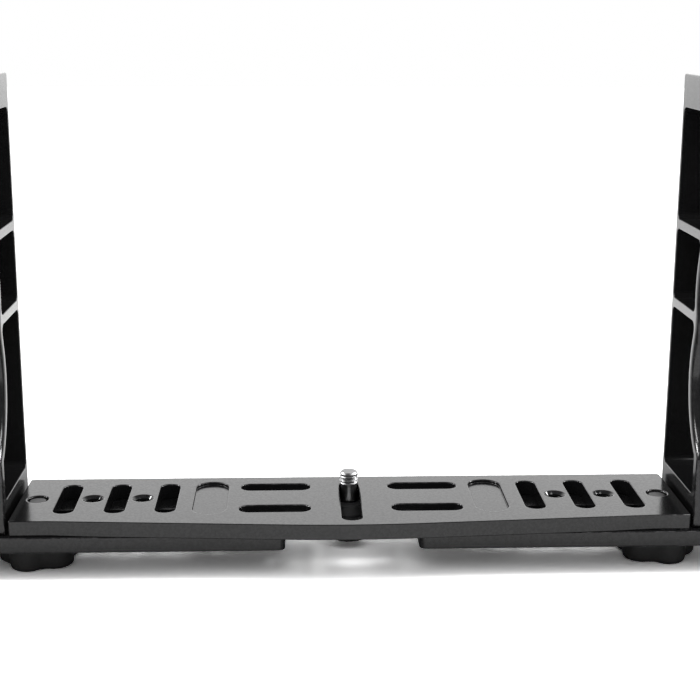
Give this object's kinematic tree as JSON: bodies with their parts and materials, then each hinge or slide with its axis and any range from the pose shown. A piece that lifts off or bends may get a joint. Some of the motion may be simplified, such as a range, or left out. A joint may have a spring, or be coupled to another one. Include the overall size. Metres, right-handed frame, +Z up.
{
  "type": "underwater camera tray",
  "caption": "Flat slotted camera tray with two upright grooved handles on sliding arm plates, clamped by star knobs underneath, and a camera screw in a middle slot.",
  "frame": {"origin": "bottom centre of the part's bounding box, on the surface under the two clamping knobs", "axes": "+X along the tray to the right handle, +Y to the back edge, +Z up"},
  "size_m": [0.2672, 0.0464, 0.1548],
  "materials": {
    "tray_black_anodised": "semi-gloss black anodised, fine bead blast",
    "arm_black_anodised": "semi-gloss black anodised",
    "handle_black_anodised": "satin black anodised extrusion",
    "black_oxide_steel": "black oxide steel",
    "knob_black_plastic": "matt moulded black nylon",
    "stainless_washer": "plain stainless steel",
    "camera_screw_steel": "stainless thread",
    "camera_head_black": "knurled black anodised",
    "nylon_black": "black nylon"
  },
  "bodies": {
    "tray": {"tray_plate": "tray_black_anodised"},
    "left_arm": {"left_arm_plate": "arm_black_anodised", "left_handle": "handle_black_anodised", "left_handle_screw_front": "black_oxide_steel", "left_handle_screw_rear": "black_oxide_steel"},
    "right_arm": {"right_arm_plate": "arm_black_anodised", "right_handle": "handle_black_anodised", "right_handle_screw_front": "black_oxide_steel", "right_handle_screw_rear": "black_oxide_steel"},
    "left_washer": {"left_knob_washer": "stainless_washer"},
    "left_knob": {"left_knob": "knob_black_plastic", "left_knob_bolt": "black_oxide_steel"},
    "right_washer": {"right_knob_washer": "stainless_washer"},
    "right_knob": {"right_knob": "knob_black_plastic", "right_knob_bolt": "black_oxide_steel"},
    "camera_washer": {"camera_screw_washer": "nylon_black"},
    "camera_screw": {"camera_screw_shank": "camera_screw_steel", "camera_screw_head": "camera_head_black"}
  },
  "joints": [
    {"name": "left_arm_slide", "type": "slide", "parent": "tray", "child": "left_arm", "axis": [-1, 0, 0], "range_m": [0, 0.06]},
    {"name": "right_arm_slide", "type": "slide", "parent": "tray", "child": "right_arm", "axis": [1, 0, 0], "range_m": [0, 0.06]},
    {"name": "left_knob_travel", "type": "slide", "parent": "tray", "child": "left_washer", "axis": [0, 0, -1], "range_m": [0, 0.00256]},
    {"name": "left_knob_turn", "type": "hinge", "parent": "left_washer", "child": "left_knob", "pos_m": [-0.1008, 0.0032, 0.005], "axis": [0, 0, 1], "range_deg": [-720, 0]},
    {"name": "right_knob_travel", "type": "slide", "parent": "tray", "child": "right_washer", "axis": [0, 0, -1], "range_m": [0, 0.00256]},
    {"name": "right_knob_turn", "type": "hinge", "parent": "right_washer", "child": "right_knob", "pos_m": [0.1008, 0.0032, 0.005], "axis": [0, 0, 1], "range_deg": [-720, 0]},
    {"name": "camera_screw_slide", "type": "slide", "parent": "tray", "child": "camera_washer", "axis": [0, -1, 0], "range_m": [0, 0.03]},
    {"name": "camera_screw_turn", "type": "hinge", "parent": "camera_washer", "child": "camera_screw", "pos_m": [0, 0.0141, 0.01], "axis": [0, 0, 1], "continuous": true}
  ],
  "couplings": [
    {"joint": "left_knob_travel", "follows": "left_knob_turn", "m_per_rad": -0.00020213},
    {"joint": "right_knob_travel", "follows": "right_knob_turn", "m_per_rad": -0.00020213}
  ]
}
